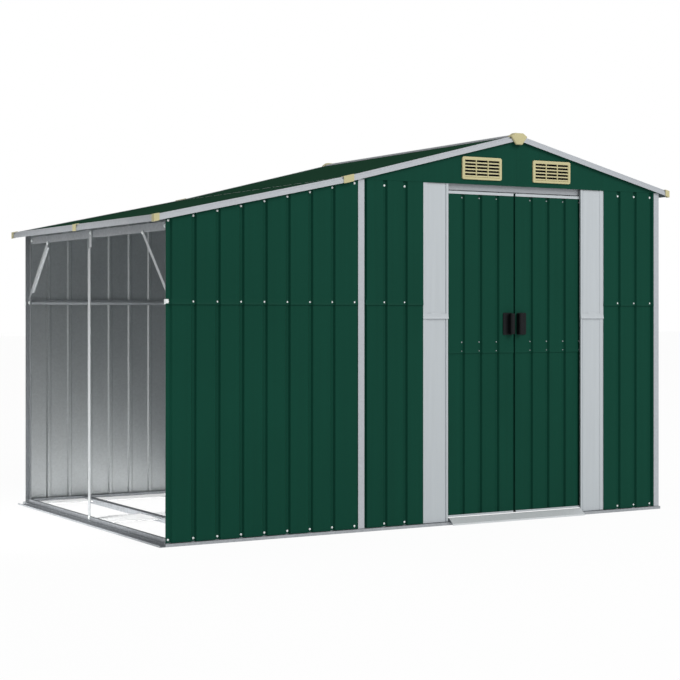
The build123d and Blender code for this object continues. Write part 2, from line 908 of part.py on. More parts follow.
def hood(left, right, front, back, clear_left, clear_right, clear_front, clear_back):
    """Cap over the trims: a block that follows the roof, hollowed from below past its open sides."""
    body = roof_slab(left, right, cap_skin, -trim_height - cap_drop, front, back)
    hollow = roof_slab(clear_left, clear_right, seat_gap, -overrun, clear_front, clear_back)
    return body - hollow


def caps():
    """Beige caps over the trims' joints: eave corners, slope breaks and the joints along the eaves."""
    outer = -verge_overhang
    front, inside = outer - cap_skin, outer + cap_length
    clear, past = outer - seat_gap, inside + overrun
    left_corner = hood(left_eave - cap_skin, left_eave + cap_length, front, inside,
                       left_eave - seat_gap, left_eave + cap_length + overrun, clear, past)
    right_corner = hood(right_eave - cap_length, right_eave + cap_skin, front, inside,
                        right_eave - cap_length - overrun, right_eave + seat_gap, clear, past)
    corners = [left_corner, right_corner]
    nodes["eave_corner_caps"] = corners + [front_to_back(cap) for cap in corners]
    left, right = break_x - break_cap_half, break_x + break_cap_half
    break_cap = hood(left, right, front, inside, left - overrun, right + overrun, clear, past)
    nodes["slope_break_caps"] = [break_cap, front_to_back(break_cap)]
    ends = (open_end_joint - joint_cap_half, open_end_joint + joint_cap_half)
    past_ends = (ends[0] - overrun, ends[1] + overrun)
    left_far, right_far = left_eave + joint_cap_length, right_eave - joint_cap_length
    left_joint = hood(left_eave - cap_skin, left_far, *ends,
                      left_eave - seat_gap, left_far + overrun, *past_ends)
    right_joint = hood(right_far, right_eave + cap_skin, *ends,
                       right_far - overrun, right_eave + seat_gap, *past_ends)
    nodes["eave_joint_caps"] = [left_joint, right_joint]


def peak_outline(inset):
    """Six-sided face of the peak cap, drawn in from its edge."""
    crown = ridge_height + peak_rise
    side = roof_line(ridge_x + peak_cap_half) + cap_skin
    return offset_path([
        (ridge_x + peak_flat_half, crown),
        (ridge_x - peak_flat_half, crown),
        (ridge_x - peak_cap_half, side),
        (ridge_x - peak_foot_half, ridge_height - peak_drop),
        (ridge_x + peak_foot_half, ridge_height - peak_drop),
        (ridge_x + peak_cap_half, side),
        (ridge_x + peak_flat_half, crown),
    ], inset)[:-1]


def peak_caps():
    """Six-sided trays over the ridge ends, with a saddle that runs back over the trims."""
    outer = -verge_overhang
    front, rear = outer - peak_stand, outer - seat_gap
    outline = peak_outline(0)
    tray = across(outline, front, rear)
    tray = chamfer(tray.faces().sort_by(Axis.Y)[0].edges(), peak_bevel)
    tray -= across(peak_outline(cap_wall + peak_bevel), front + cap_wall, rear + overrun)
    left, right = ridge_x - peak_cap_half, ridge_x + peak_cap_half
    under = roof_points(left, right, seat_gap)
    saddle = across([outline[0], outline[1], outline[2], *under, outline[5]], rear, outer + cap_length)
    nodes["peak_caps"] = [tray + saddle, front_to_back(tray + saddle)]


def export_all():
    """Write each node with the origin on the ground at the middle of the shed's box."""
    left, right = left_eave - cap_skin, right_eave + cap_skin
    roof_reach = verge_overhang + peak_stand
    front, back = -max(threshold_reach + strip, roof_reach), shed_depth + roof_reach
    origin = Location((-(left + right) / 2, -(front + back) / 2, 0))
    os.makedirs("parts", exist_ok=True)
    for name, pieces in nodes.items():
        solids = [solid for piece in pieces for solid in piece.solids()]
        export_step(Compound(solids).moved(origin), f"parts/{name}.step")


base_rails()
floor_frame()
threshold()
room_posts()
lean_to_posts()
eave_beam()
centre_post()
braces()
girts()
walls()
jambs()
track()
doors()
gables()
vents()
roof()
purlins()
trims()
caps()
peak_caps()
export_all()
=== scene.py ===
"""Looks of the metal storage shed: finishes for its sheets and frame, its fasteners, and the stage."""

from math import radians

import bmesh
import bpy
import numpy as np
from bpy.props import FloatProperty, FloatVectorProperty, IntProperty, PointerProperty
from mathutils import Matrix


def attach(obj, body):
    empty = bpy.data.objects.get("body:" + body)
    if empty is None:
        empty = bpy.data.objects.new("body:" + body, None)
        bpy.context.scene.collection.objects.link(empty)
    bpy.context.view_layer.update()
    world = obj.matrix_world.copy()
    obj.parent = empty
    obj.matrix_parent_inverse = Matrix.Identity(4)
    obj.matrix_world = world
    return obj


bl_info = {
    "name": "Storage shed looks",
    "version": (1, 0, 0),
    "blender": (4, 5, 0),
    "location": "3D View > Sidebar > Shed",
    "description": "Finishes, fasteners and stage of a metal storage shed with an open lean-to",
    "category": "Object",
}

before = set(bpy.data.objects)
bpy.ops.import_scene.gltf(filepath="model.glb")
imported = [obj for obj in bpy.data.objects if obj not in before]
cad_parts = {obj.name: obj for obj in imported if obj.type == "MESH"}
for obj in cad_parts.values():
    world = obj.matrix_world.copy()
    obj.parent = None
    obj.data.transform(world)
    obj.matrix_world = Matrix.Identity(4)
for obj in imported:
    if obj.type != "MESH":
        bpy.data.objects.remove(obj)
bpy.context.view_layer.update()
MM = 0.001
FRONT = (0.0, -1.0, 0.0)
BACK = (0.0, 1.0, 0.0)
RIGHT = (1.0, 0.0, 0.0)
LEFT = (-1.0, 0.0, 0.0)
UP = (0.0, 0.0, 1.0)

# Nodes by finish; the sheets also by the way their painted side faces.
SHEETS = {
    "front": (FRONT, ("lean_to_front_wall", "front_wall_left", "front_wall_right", "left_door_panel",
                      "right_door_panel", "front_gable_left", "front_gable_right")),
    "back": (BACK, ("lean_to_back_wall", "back_wall", "back_gable")),
    "right": (RIGHT, ("right_wall",)),
    "roof": (UP, ("roof_left", "roof_right", "roof_lean_to")),
}
ZINC_NODES = ("base_front_rail", "base_back_rail", "base_left_rail", "base_right_rail", "floor_rails",
              "lean_to_eave_beam", "room_purlins", "lean_to_purlin")
# Painted light: the braces and the open end's post get a lighter copy of the zinc for the light on their
# fronts.
LIT_BRACE_NODES = ("lean_to_centre_post", "lean_to_braces")
# Painted shade: the bay's posts and girts get a darker copy of the frame's zinc.
SHADED_ZINC_NODES = ("lean_to_front_post", "lean_to_back_post", "lean_to_girts", "room_girts")
SILVER_NODES = ("front_left_post", "back_left_post", "front_right_post", "back_right_post",
                "front_verge_trims", "back_verge_trims", "eave_trims", "ridge_cap")
PALE_NODES = ("door_jamb_left", "door_jamb_right", "left_door_frame", "right_door_frame")
# Painted light: the floor plates get a near-white coat that paints the light on the bay's shaded floor.
WHITE_NODES = ("floor_plates",)
THRESHOLD_NODES = ("door_threshold",)
TRACK_NODES = ("door_track",)
PARTITION_NODES = ("left_wall",)
BEIGE_NODES = ("vent_left", "vent_right", "eave_corner_caps", "slope_break_caps", "eave_joint_caps",
               "peak_caps")
BLACK_NODES = ("left_door_handle", "right_door_handle")

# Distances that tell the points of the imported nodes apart: how far one face reaches in depth, how wide the
# space between two grooves is at least, how near a place its edge is looked for, how thick a post's face is
# and how high a leaf's foot rail reaches.
FACE_DEPTH = 0.1 * MM
GROOVE_SPACE = 30 * MM
EDGE_REACH = 20 * MM
POST_DEPTH = 3 * MM
RAIL_REACH = 15 * MM

# Points closer than this are one point of a new piece.
MERGE_DISTANCE = 0.01 * MM

# Rivets: how deep the rim sits in the sheet, the dome's radius and foot as shares of the head, its rings.
RIM_SINK = 0.2 * MM
DOME_SHARE = 0.8
RIM_SHARE = 0.3
DOME_RINGS = 4

# Bolts: shares of the head's radius and height at each bend, and of the inset at a brace's foot.
BOLT_SHARES = ((1.45, -0.1), (1.45, 0.2), (1.0, 0.2), (1.0, 0.85), (0.82, 1.0))
BRACE_FOOT_SHARE = 0.75

# Flared edges: shares of the reach and the height at which the edge starts to lean out more.
FLARE_REACH_SHARE = 0.4
FLARE_HEIGHT_SHARE = 1 / 3

# Sheets: how much longer than wide a rolling streak is, how far a face turns inwards before it is bare, and
# how rough the bare zinc is.
STREAK_STRETCH = 60
INNER_FACING = -0.05
BARE_ROUGHNESS = 0.46

# How far the roughness of zinc and plastic goes up and down, and how long a texture's wave is at scale 1.
ROUGHNESS_SWING = 0.06
WAVE_PERIOD = np.pi / 10

# Width of the camera's sensor, in millimetres.
SENSOR_WIDTH = 36

# Posts that cover the ends of each wall's sheets.
POSTS = {
    "lean_to_front_wall": ("front_left_post",),
    "lean_to_back_wall": ("back_left_post",),
    "front_wall_left": ("front_left_post",),
    "front_wall_right": ("front_right_post",),
    "back_wall": ("back_left_post", "back_right_post"),
    "right_wall": ("front_right_post", "back_right_post"),
}


def linear(code):
    """Linear red, green and blue of an sRGB hex colour."""
    values = np.array([int(code[start:start + 2], 16) for start in (0, 2, 4)]) / 255
    return tuple(np.where(values <= 0.04045, values / 12.92, ((values + 0.055) / 1.055) ** 2.4))


def colour_setting(label, about, code):
    """Colour property with a name, a description and an sRGB hex default."""
    return FloatVectorProperty(name=label, description=about, subtype="COLOR", size=3, min=0, max=1,
                               default=linear(code))


def length_setting(label, about, default):
    """Length property in metres with a name and a description."""
    return FloatProperty(name=label, description=about, unit="LENGTH", min=0, precision=4,
                         default=default)


def share_setting(label, about, default):
    """Share from 0 to 1 with a name and a description."""
    return FloatProperty(name=label, description=about, subtype="FACTOR", min=0, max=1, default=default)


def power_setting(label, about, default):
    """Power property in watts with a name and a description."""
    return FloatProperty(name=label, description=about, unit="POWER", min=0, default=default)


def place_setting(label, about, default):
    """Place property in metres with a name and a description."""
    return FloatVectorProperty(name=label, description=about, subtype="TRANSLATION", unit="LENGTH", size=3,
                               default=default)


def turn_setting(label, about, degrees):
    """Turn property about the three axes with a name, a description and a default in degrees."""
    return FloatVectorProperty(name=label, description=about, subtype="EULER", size=3,
                               default=[radians(angle) for angle in degrees])


def count_setting(label, about, default):
    """Number of sides of a round shape with a name and a description."""
    return IntProperty(name=label, description=about, min=6, max=48, default=default)


class ShedColours(bpy.types.PropertyGroup):
    """Colours of the shed's finishes."""

    paint: colour_setting("Paint", "Powder coat on the outside of the sheets", "114335")
    roof_paint: colour_setting("Roof paint", "Powder coat on the top of the roof sheets", "224131")
    zinc: colour_setting("Zinc", "Bare galvanised steel of the frame", "A8ACB0")
    # Painted light: a lighter copy of the zinc that paints the light on the braces and the open end's post.
    brace_lit_zinc: colour_setting("Strip zinc", "Galvanised strip of the braces and the open end's post",
                               "BABEC0")
    # Painted light: a lighter copy of the zinc that paints the light on the threshold.
    lit_zinc: colour_setting("Bright zinc", "Newly galvanised threshold", "D6DADC")
    # Painted shade: a darker copy of the zinc that paints the shade on the bay's posts, girts and inner
    # wall.
    shaded_zinc: colour_setting("Dull zinc", "Weathered galvanised steel of posts, girts and the inner wall",
                              "94989B")
    bare_zinc: colour_setting("Bare zinc", "Bright galvanised inner side of the sheets", "CDD1D2")
    silver: colour_setting("Silver", "Smooth zinc-coated strip of posts and trims", "BBBFC4")
    pale: colour_setting("Pale panel", "Light grey coat on the jamb panels and door rails", "C0C6CA")
    # Painted light: near-white that paints the light on the floor plates in the bay's shade.
    white: colour_setting("White panel", "White coat on the floor plates of the open bay", "FAFBFB")
    beige: colour_setting("Beige", "Moulded vents and caps", "C6BE90")
    black: colour_setting("Black", "Moulded pull handles, foot plugs and insect mesh", "17191B")
    rivet: colour_setting("Rivet", "Plated heads of rivets and bolts", "F2F7F6")
    floor: colour_setting("Floor", "Plain studio floor and background", "FFFFFF")


class ShedSizes(bpy.types.PropertyGroup):
    """Sizes of the fasteners, the flared seams and the finishes' patterns."""

    head_radius: length_setting("Rivet head", "Radius of a wall rivet's head", 5 * MM)
    head_height: length_setting("Rivet height", "Height of a wall rivet's head", 2.4 * MM)
    small_radius: length_setting("Small head", "Radius of a rivet's head on the doors", 3.2 * MM)
    small_height: length_setting("Small height", "Height of a rivet's head on the doors", 1.4 * MM)
    bolt_radius: length_setting("Bolt head", "Half the width of a bolt's head on the frame", 6 * MM)
    bolt_height: length_setting("Bolt height", "Height of a bolt's head on the frame", 4.5 * MM)
    bottom_row: length_setting("Bottom row", "Height of the lowest rivets above the ground", 27.6 * MM)
    seam_row: length_setting("Seam row", "Height of the rivets at the seam of the courses", 1016 * MM)
    top_drop: length_setting("Top row drop", "Distance of the top rivets below the sheet's edge", 30 * MM)
    foot_seat: length_setting("Foot seat", "Height of the lowest rivets over the deepest face", 1 * MM)
    lap_seat: length_setting("Lap seat", "Height of the other rivets over the deepest face", 2.3 * MM)
    door_row_low: length_setting("Door row 1", "Height of the rivets under the lap of a leaf's courses",
                                 793 * MM)
    door_row_high: length_setting("Door row 2", "Height of the rivets over the lap of a leaf's courses",
                                  834 * MM)
    door_row_top: length_setting("Door row 3", "Height of the rivets at a leaf's top", 1501 * MM)
    wall_seam: length_setting("Wall seam", "Height of the upper wall sheets' lower edge", 1004.5 * MM)
    door_seam: length_setting("Door seam", "Height of the upper door sheets' lower edge", 783 * MM)
    jamb_seam: length_setting("Jamb seam", "Height of the upper jamb panels' lower edge", 943 * MM)
    end_row: length_setting("End row", "Distance of a lean-to wall's last rivets from the post", 18 * MM)
    jamb_width: length_setting("Jamb width", "Width of a jamb panel beside the doorway", 138 * MM)
    rib_mouth: length_setting("Groove mouth", "Width of a pressed groove at the sheet's face", 24 * MM)
    rib_floor: length_setting("Groove floor", "Width of a pressed groove at its floor", 12 * MM)
    rib_depth: length_setting("Groove depth", "Depth of a pressed groove", 9 * MM)
    flare_height: length_setting("Flare height", "Height of the flared lower edge of a sheet", 24 * MM)
    wall_flare: length_setting("Wall flare", "How far a wall sheet's lower edge leans out", 3 * MM)
    door_flare: length_setting("Door flare", "How far a door sheet's lower edge leans out", 2 * MM)
    jamb_flare: length_setting("Jamb flare", "How far a jamb panel's lower edge leans out", 3.5 * MM)
    bead_length: length_setting("Bead length", "Length of the bead pressed in a jamb panel", 54 * MM)
    bead_height: length_setting("Bead height", "Height of the bead pressed in a jamb panel", 12 * MM)
    bead_rise: length_setting("Bead rise", "How far the bead stands out of the panel", 2 * MM)
    bead_lift: length_setting("Bead lift", "Height of the bead's middle over the seam", 22 * MM)
    bead_setback: length_setting("Bead setback", "Depth of the panel's field behind its border", 2.3 * MM)
    clip_width: length_setting("Clip width", "Width of each wing of a clip on a wall's edge", 12 * MM)
    clip_height: length_setting("Clip height", "Height of a clip on a wall's edge", 21 * MM)
    clip_thickness: length_setting("Clip thickness", "Thickness of a clip's steel", 1.6 * MM)
    bolt_inset: length_setting("Bolt inset", "Distance of a bolt from the end that it holds", 12 * MM)
    mesh_margin: length_setting("Mesh margin", "Distance of the insect mesh from a vent's rim", 12 * MM)
    mesh_thickness: length_setting("Mesh thickness", "Thickness of the insect mesh", 0.8 * MM)
    mesh_cell: length_setting("Mesh cell", "Width of a cell in the insect mesh's weave", 1.57 * MM)
    edging: length_setting("Edging", "Thickness of the fold and the plug on a leaf's meeting edge", 0.7 * MM)
    plug_wing: length_setting("Plug wing", "Width of the plug's front wing on a leaf's foot rail", 2 * MM)
    hair: length_setting("Hair", "Small distance by which a piece is set into or off another", 0.2 * MM)
    spangle: length_setting("Spangle", "Width of a crystal in the zinc coat", 9 * MM)
    spangle_depth: length_setting("Spangle depth", "Depth of the steps between crystals", 0.2 * MM)
    peel: length_setting("Orange peel", "Width of a ripple in a paint coat", 4 * MM)
    peel_depth: length_setting("Peel depth", "Depth of a ripple in a paint coat", 0.3 * MM)
    streak: length_setting("Streak", "Width of a rolling streak in a sheet", 14 * MM)
    cloud: length_setting("Cloud", "Width of a patch where the coat's shade changes", 420 * MM)
    grain: length_setting("Plastic grain", "Width of a dimple in moulded plastic", 2.5 * MM)
    grain_depth: length_setting("Grain depth", "Depth of a dimple in moulded plastic", 0.3 * MM)
    turns: count_setting("Rivet sides", "Sides of a rivet's round head", 10)
    bolt_turns: count_setting("Bolt sides", "Sides of a bolt's round head", 12)


class ShedStage(bpy.types.PropertyGroup):
    """Floor, light and camera of the stage."""

    floor_reach: length_setting("Floor reach", "Half the width of the floor", 60)
    floor_drop: length_setting("Floor drop", "Depth of the floor below the shed's foot", 0.5 * MM)
    floor_glow: share_setting("Floor glow", "Share of plain white in the floor as it shows", 0.95)
    # Painted light: a glowing patch on the open bay's floor that only metals mirror.
    patch_middle: place_setting("Patch middle", "Middle of the bright patch on the open bay's floor",
                                (-0.85, 0.35, 0))
    patch_inner: length_setting("Patch inner", "Radius within which the patch is brightest", 0.8)
    patch_outer: length_setting("Patch outer", "Radius at which the patch has faded to plain floor", 1.2)
    patch_glow: FloatProperty(name="Patch glow", description="Brightness of the patch as metals mirror it",
                              min=0, default=1.7)
    sky_fill: share_setting("Sky fill", "Strength of the sky's light on the shed", 0.5)
    lamp_size: length_setting("Lamp size", "Width of the broad lamp", 7.5)
    lamp_power: power_setting("Lamp power", "Power of the broad lamp", 860)
    lamp_place: place_setting("Lamp place", "Where the broad lamp hangs", (4.2, -10.5, 9.5))
    lamp_turn: turn_setting("Lamp turn", "How the broad lamp is turned", (51.8, 0, 21.8))
    bay_lamp_size: length_setting("Bay lamp size", "Width of the open end's lamp", 1)
    bay_lamp_power: power_setting("Bay lamp power", "Power of the open end's lamp", 12)
    bay_lamp_spread: FloatProperty(name="Bay lamp spread", description="Width of the open end's lamp's beam",
                                   subtype="ANGLE", default=radians(40))
    bay_lamp_place: place_setting("Bay lamp place", "Where the open end's lamp hangs", (-3.6, -0.9, 1.6))
    bay_lamp_turn: turn_setting("Bay lamp turn", "How the open end's lamp is turned", (62.7, 0, -64.2))
    camera_place: place_setting("Camera place", "Where the camera stands", (-4.0881, -7.06325, 0.9664))
    camera_turn: FloatProperty(name="Camera turn", description="Turn of the level camera from the front",
                               subtype="ANGLE", default=radians(-30.14))
    camera_lens: FloatProperty(name="Lens", description="Focal length on a 36 mm sensor, in millimetres",
                               min=1, default=86.258)
    camera_shift: FloatProperty(name="Shift", description="Upward shift of the frame, in widths",
                                default=-0.03887)


# Shapes

def node_points(name):
    """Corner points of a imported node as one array."""
    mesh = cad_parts[name].data
    flat = np.empty(len(mesh.vertices) * 3, np.float32)
    mesh.vertices.foreach_get("co", flat)
    return flat.reshape(-1, 3).astype(float)


def groove_places(name, along, deep):
    """Middles of a sheet's pressed grooves along one axis, and their depth.

    The sheet's deepest points are split into groups at each wide space; a groove's middle is midway
    between its group's two ends.
    """
    points = node_points(name)
    depth = points @ np.array(deep, float)
    floor = np.unique(np.round(points[depth < depth.min() + FACE_DEPTH][:, along], 5))
    groups = np.split(floor, np.flatnonzero(np.diff(floor) > GROOVE_SPACE) + 1)
    return np.array([(group[0] + group[-1]) / 2 for group in groups]), depth.min()


def edge_heights(name, along, places):
    """Height of a sheet's top edge over each place: the highest point close to it."""
    points = node_points(name)
    near = np.abs(points[None, :, along] - places[:, None]) < EDGE_REACH
    return np.where(near, points[None, :, 2], -np.inf).max(1)


def shown_ends(name, along, outward):
    """Two ends of a wall along one axis, drawn in to the edges of the posts that cover them."""
    first, last = node_points(name)[:, along].min(), node_points(name)[:, along].max()
    middle = (first + last) / 2
    for post in POSTS.get(name, ()):
        points = node_points(post)
        out = points @ np.array(outward)
        cover = points[out > out.max() - POST_DEPTH][:, along]
        if cover.mean() > middle:
            last = min(last, cover.min())
        else:
            first = max(first, cover.max())
    return first, last


def turned_heads(places, facing, profile, turns):
    """Round heads at many places: a profile of radius and height carried round the facing direction.

    A point is place + radius * (cos(angle) * a + sin(angle) * b) + height * facing, with a and b square
    to the facing direction; the first and last rings are closed by flat faces.
    """
    facing = np.array(facing, float)
    side = np.cross(facing, (0, 0, 1) if abs(facing[2]) < 0.9 else (1, 0, 0))
    side /= np.linalg.norm(side)
    up = np.cross(facing, side)
    radius, height = np.array(profile, float).T
    angle = np.arange(turns) * 2 * np.pi / turns
    ring = np.cos(angle)[:, None] * side + np.sin(angle)[:, None] * up
    head = radius[:, None, None] * ring + height[:, None, None] * facing
    points = (np.asarray(places, float)[:, None, None, :] + head).reshape(-1, 3)
    row, column = np.meshgrid(np.arange(len(radius) - 1), np.arange(turns), indexing="ij")
    following = (column + 1) % turns
    quads = np.stack([row * turns + column, row * turns + following, (row + 1) * turns + following,
                      (row + 1) * turns + column], -1).reshape(-1, 4)
    start = np.arange(len(places))[:, None, None] * len(radius) * turns
    caps = np.stack([np.arange(turns)[::-1], (len(radius) - 1) * turns + np.arange(turns)])
    return points, (start + quads).reshape(-1, 4).tolist() + (start + caps).reshape(-1, turns).tolist()


def rivet_profile(radius, height):
    """Flat rim under a low dome: radius and height from the sheet to the crown."""
    lift = np.linspace(0, np.pi / 2, DOME_RINGS, endpoint=False)
    rise = RIM_SHARE + (1 - RIM_SHARE) * np.sin(lift)
    dome = np.stack([DOME_SHARE * radius * np.cos(lift), height * rise], 1)
    return np.concatenate([[(radius, -RIM_SINK), (radius, RIM_SHARE * height)], dome])


def bolt_profile(radius, height):
    """Washer under a head with a bevelled rim: radius and height from the metal to the crown."""
    return np.array(BOLT_SHARES) * (radius, height)


def swept_strip(path, outward, profile):
    """Closed strip carried along a line of points.

    A point is path + out * facing + height * up for each pair of out and height in the profile, which
    is a closed ring; neighbouring sections are joined by four-sided faces and the two ends are capped.
    """
    out, height = np.array(profile, float).T
    count = len(out)
    section = out[:, None] * np.array(outward, float) + height[:, None] * np.array(UP)
    points = (np.asarray(path, float)[:, None, :] + section).reshape(-1, 3)
    row, column = np.meshgrid(np.arange(len(path) - 1), np.arange(count), indexing="ij")
    following = (column + 1) % count
    sides = np.stack([row * count + column, row * count + following, (row + 1) * count + following,
                      (row + 1) * count + column], -1)
    ends = np.stack([np.arange(count), (len(path) - 1) * count + np.arange(count)])
    return points, sides.reshape(-1, 4).tolist() + ends.tolist()


def raised_bead(middle, outward, half_length, half_height, rise):
    """Oval swelling pressed out of a flat panel, closed by a flat back.

    With u and v from -1 to 1 along and up it, a point lies at middle + half_length * u * side +
    half_height * v * up and stands out by rise * (1 - u ** 6) * (1 - v ** 2), or by nothing on the back.
    """
    columns, rows = 25, 11
    u, v = np.meshgrid(np.linspace(-1, 1, columns), np.linspace(-1, 1, rows), indexing="ij")
    facing = np.array(outward, float)
    side = np.cross(np.array(UP), facing)
    flat = (np.array(middle, float) + (half_length * u)[..., None] * side
            + (half_height * v)[..., None] * np.array(UP))
    front = flat + (rise * (1 - u ** 6) * (1 - v ** 2))[..., None] * facing
    column, row = np.meshgrid(np.arange(columns - 1), np.arange(rows - 1), indexing="ij")
    first = (column * rows + row).reshape(-1, 1)
    faces = first + np.array([0, rows, rows + 1, 1])
    points = np.concatenate([front.reshape(-1, 3), flat.reshape(-1, 3)])
    return points, np.concatenate([faces, faces + columns * rows]).tolist()


def folded_plate(line, foot, top, thickness):
    """Plate folded along a plan line and stood up between two heights.

    Each point of the line gives four corners: on the line and the thickness to its left, at the foot
    and at the top; the sections are joined by four-sided faces and closed at both ends.
    """
    line = np.array(line, float)
    step = np.diff(line, axis=0)
    step /= np.linalg.norm(step, axis=1)[:, None]
    before, after = np.vstack([step[:1], step]), np.vstack([step, step[-1:]])
    normal = np.stack([-(before + after)[:, 1], (before + after)[:, 0]], 1)
    normal *= (2 / (normal ** 2).sum(1))[:, None]
    plan = np.stack([line, line + thickness * normal], 1)
    corners = np.concatenate([np.insert(plan, 2, height, axis=2) for height in (foot, top)], 1)
    ring = np.array([0, 1, 3, 2])
    start = 4 * np.arange(len(line) - 1)[:, None]
    sides = np.stack([start + ring, start + np.roll(ring, -1), start + 4 + np.roll(ring, -1),
                      start + 4 + ring], -1).reshape(-1, 4)
    ends = np.stack([ring[::-1], 4 * (len(line) - 1) + ring])
    return corners.reshape(-1, 3), np.concatenate([sides, ends]).tolist()


def joined(shapes):
    """Several meshes as one: points stacked and faces counted on."""
    points = np.concatenate([shape[0] for shape in shapes])
    starts = np.cumsum([0] + [len(shape[0]) for shape in shapes])
    return points, [[int(start + corner) for corner in face]
                    for (_, faces), start in zip(shapes, starts) for face in faces]


def make_piece(name, points, faces, material, body, slot):
    """Mesh object at the origin with closed seams and outward faces, on a body; the record slot is not used.
    """
    mesh = bpy.data.meshes.new(name)
    mesh.from_pydata(np.asarray(points).tolist(), [], faces)
    mesh.validate()
    shape = bmesh.new()
    shape.from_mesh(mesh)
    bmesh.ops.remove_doubles(shape, verts=shape.verts, dist=MERGE_DISTANCE)
    bmesh.ops.recalc_face_normals(shape, faces=shape.faces)
    shape.to_mesh(mesh)
    shape.free()
    piece = bpy.data.objects.new(name, mesh)
    piece.data.materials.append(material)
    bpy.context.scene.collection.objects.link(piece)
    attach(piece, body)


# Finishes

def add(tree, kind, links=None, **settings):
    """Add a node: settings are its attributes, links give its inputs a socket or a plain value."""
    made = tree.nodes.new(kind)
    for name, value in settings.items():
        setattr(made, name, value)
    for key, value in (links or {}).items():
        if isinstance(value, bpy.types.NodeSocket):
            tree.links.new(value, made.inputs[key])
        else:
            made.inputs[key].default_value = value
    return made


def start_material(name):
    """Named material with an empty tree: its tree, shader and object coordinates."""
    material = bpy.data.materials.new(name)
    material.use_nodes = True
    tree = material.node_tree
    tree.nodes.clear()
    shader = add(tree, "ShaderNodeBsdfPrincipled")
    add(tree, "ShaderNodeOutputMaterial", {"Surface": shader.outputs["BSDF"]})
    return material, tree, shader, add(tree, "ShaderNodeTexCoord")


def shade(colour, share):
    """Colour with four channels, made darker or lighter by a share."""
    return (*(min(1, channel * share) for channel in colour), 1)


def drift(tree, factor, colour, darkest, lightest):
    """Socket of a colour that goes from its darkest share to its lightest as the factor rises."""
    mixed = add(tree, "ShaderNodeMix", {0: factor, 6: shade(colour, darkest), 7: shade(colour, lightest)},
                data_type="RGBA")
    return mixed.outputs[2]


def powder_coated_sheet(name, outward, paint, zinc, sizes):
    """Powder-coated galvanised steel: satin paint outside, bare spangled zinc inside."""
    # The eye gets an even satin green with faint upright rolling streaks and a soft orange peel.
    material, tree, shader, place = start_material(name)
    facing = add(tree, "ShaderNodeVectorMath", {0: place.outputs["Normal"], 1: outward},
                 operation="DOT_PRODUCT")
    bare = add(tree, "ShaderNodeMath", {0: facing.outputs["Value"], 1: INNER_FACING}, operation="LESS_THAN")
    across = 1 / sizes.streak
    down = across / STREAK_STRETCH
    stretch = (down, across, across) if outward == UP else (across, across, down)
    drawn = add(tree, "ShaderNodeMapping", {"Vector": place.outputs["Object"], "Scale": stretch})
    streak = add(tree, "ShaderNodeTexNoise", {"Vector": drawn.outputs["Vector"], "Scale": 1, "Detail": 2})
    cloud = add(tree, "ShaderNodeTexNoise",
                {"Vector": place.outputs["Object"], "Scale": 1 / sizes.cloud, "Detail": 3})
    mixed = add(tree, "ShaderNodeMath", {0: streak.outputs[0], 1: cloud.outputs[0]}, operation="ADD")
    tone = add(tree, "ShaderNodeMapRange", {0: mixed.outputs[0], 1: 0.7, 2: 1.3, 3: 0, 4: 1})
    coat = drift(tree, tone.outputs[0], paint, 0.95, 1.05)
    cell = add(tree, "ShaderNodeTexVoronoi",
               {"Vector": place.outputs["Object"], "Scale": 1 / sizes.spangle})
    crystal = drift(tree, cell.outputs["Color"], zinc, 0.95, 1.05)
    colour = add(tree, "ShaderNodeMix", {0: bare.outputs[0], 6: coat, 7: crystal}, data_type="RGBA")
    matt = add(tree, "ShaderNodeMapRange", {0: mixed.outputs[0], 1: 0.6, 2: 1.4, 3: 0.5, 4: 0.62})
    rough = add(tree, "ShaderNodeMix", {0: bare.outputs[0], 2: matt.outputs[0], 3: BARE_ROUGHNESS})
    # The peel is drawn about four times as coarse as on the real coat so that it shows.
    peel = add(tree, "ShaderNodeTexNoise", {"Vector": place.outputs["Object"], "Scale": 1 / sizes.peel})
    bump = add(tree, "ShaderNodeBump",
               {"Strength": 0.06, "Distance": sizes.peel_depth, "Height": peel.outputs[0]})
    tree.links.new(colour.outputs[2], shader.inputs["Base Color"])
    tree.links.new(bare.outputs[0], shader.inputs["Metallic"])
    tree.links.new(rough.outputs[0], shader.inputs["Roughness"])
    tree.links.new(bump.outputs[0], shader.inputs["Normal"])
    shader.inputs["Specular IOR Level"].default_value = 0 if outward == UP else 0.05
    return material


def zinc_coat(name, colour, sizes, depth, metallic, roughness):
    """Hot-dip galvanised or zinc-coated steel: a satin metal with crystals that differ a little in shade."""
    # The eye gets a cool grey metal, patchy close by and even from afar.
    material, tree, shader, place = start_material(name)
    cell = add(tree, "ShaderNodeTexVoronoi",
               {"Vector": place.outputs["Object"], "Scale": 1 / sizes.spangle})
    cloud = add(tree, "ShaderNodeTexNoise",
                {"Vector": place.outputs["Object"], "Scale": 3 / sizes.cloud, "Detail": 4})
    mixed = add(tree, "ShaderNodeMath", {0: cell.outputs["Color"], 1: cloud.outputs[0]}, operation="ADD")
    tone = add(tree, "ShaderNodeMapRange", {0: mixed.outputs[0], 1: 0.5, 2: 1.5, 3: 0, 4: 1})
    crystal = drift(tree, tone.outputs[0], colour, 1 - depth, 1 + depth)
    rough = add(tree, "ShaderNodeMapRange", {0: tone.outputs[0], 1: 0, 2: 1, 3: roughness + ROUGHNESS_SWING,
                                             4: roughness - ROUGHNESS_SWING})
    bump = add(tree, "ShaderNodeBump",
               {"Strength": 0.05, "Distance": sizes.spangle_depth, "Height": mixed.outputs[0]})
    tree.links.new(crystal, shader.inputs["Base Color"])
    tree.links.new(rough.outputs[0], shader.inputs["Roughness"])
    tree.links.new(bump.outputs[0], shader.inputs["Normal"])
    shader.inputs["Metallic"].default_value = metallic
    return material


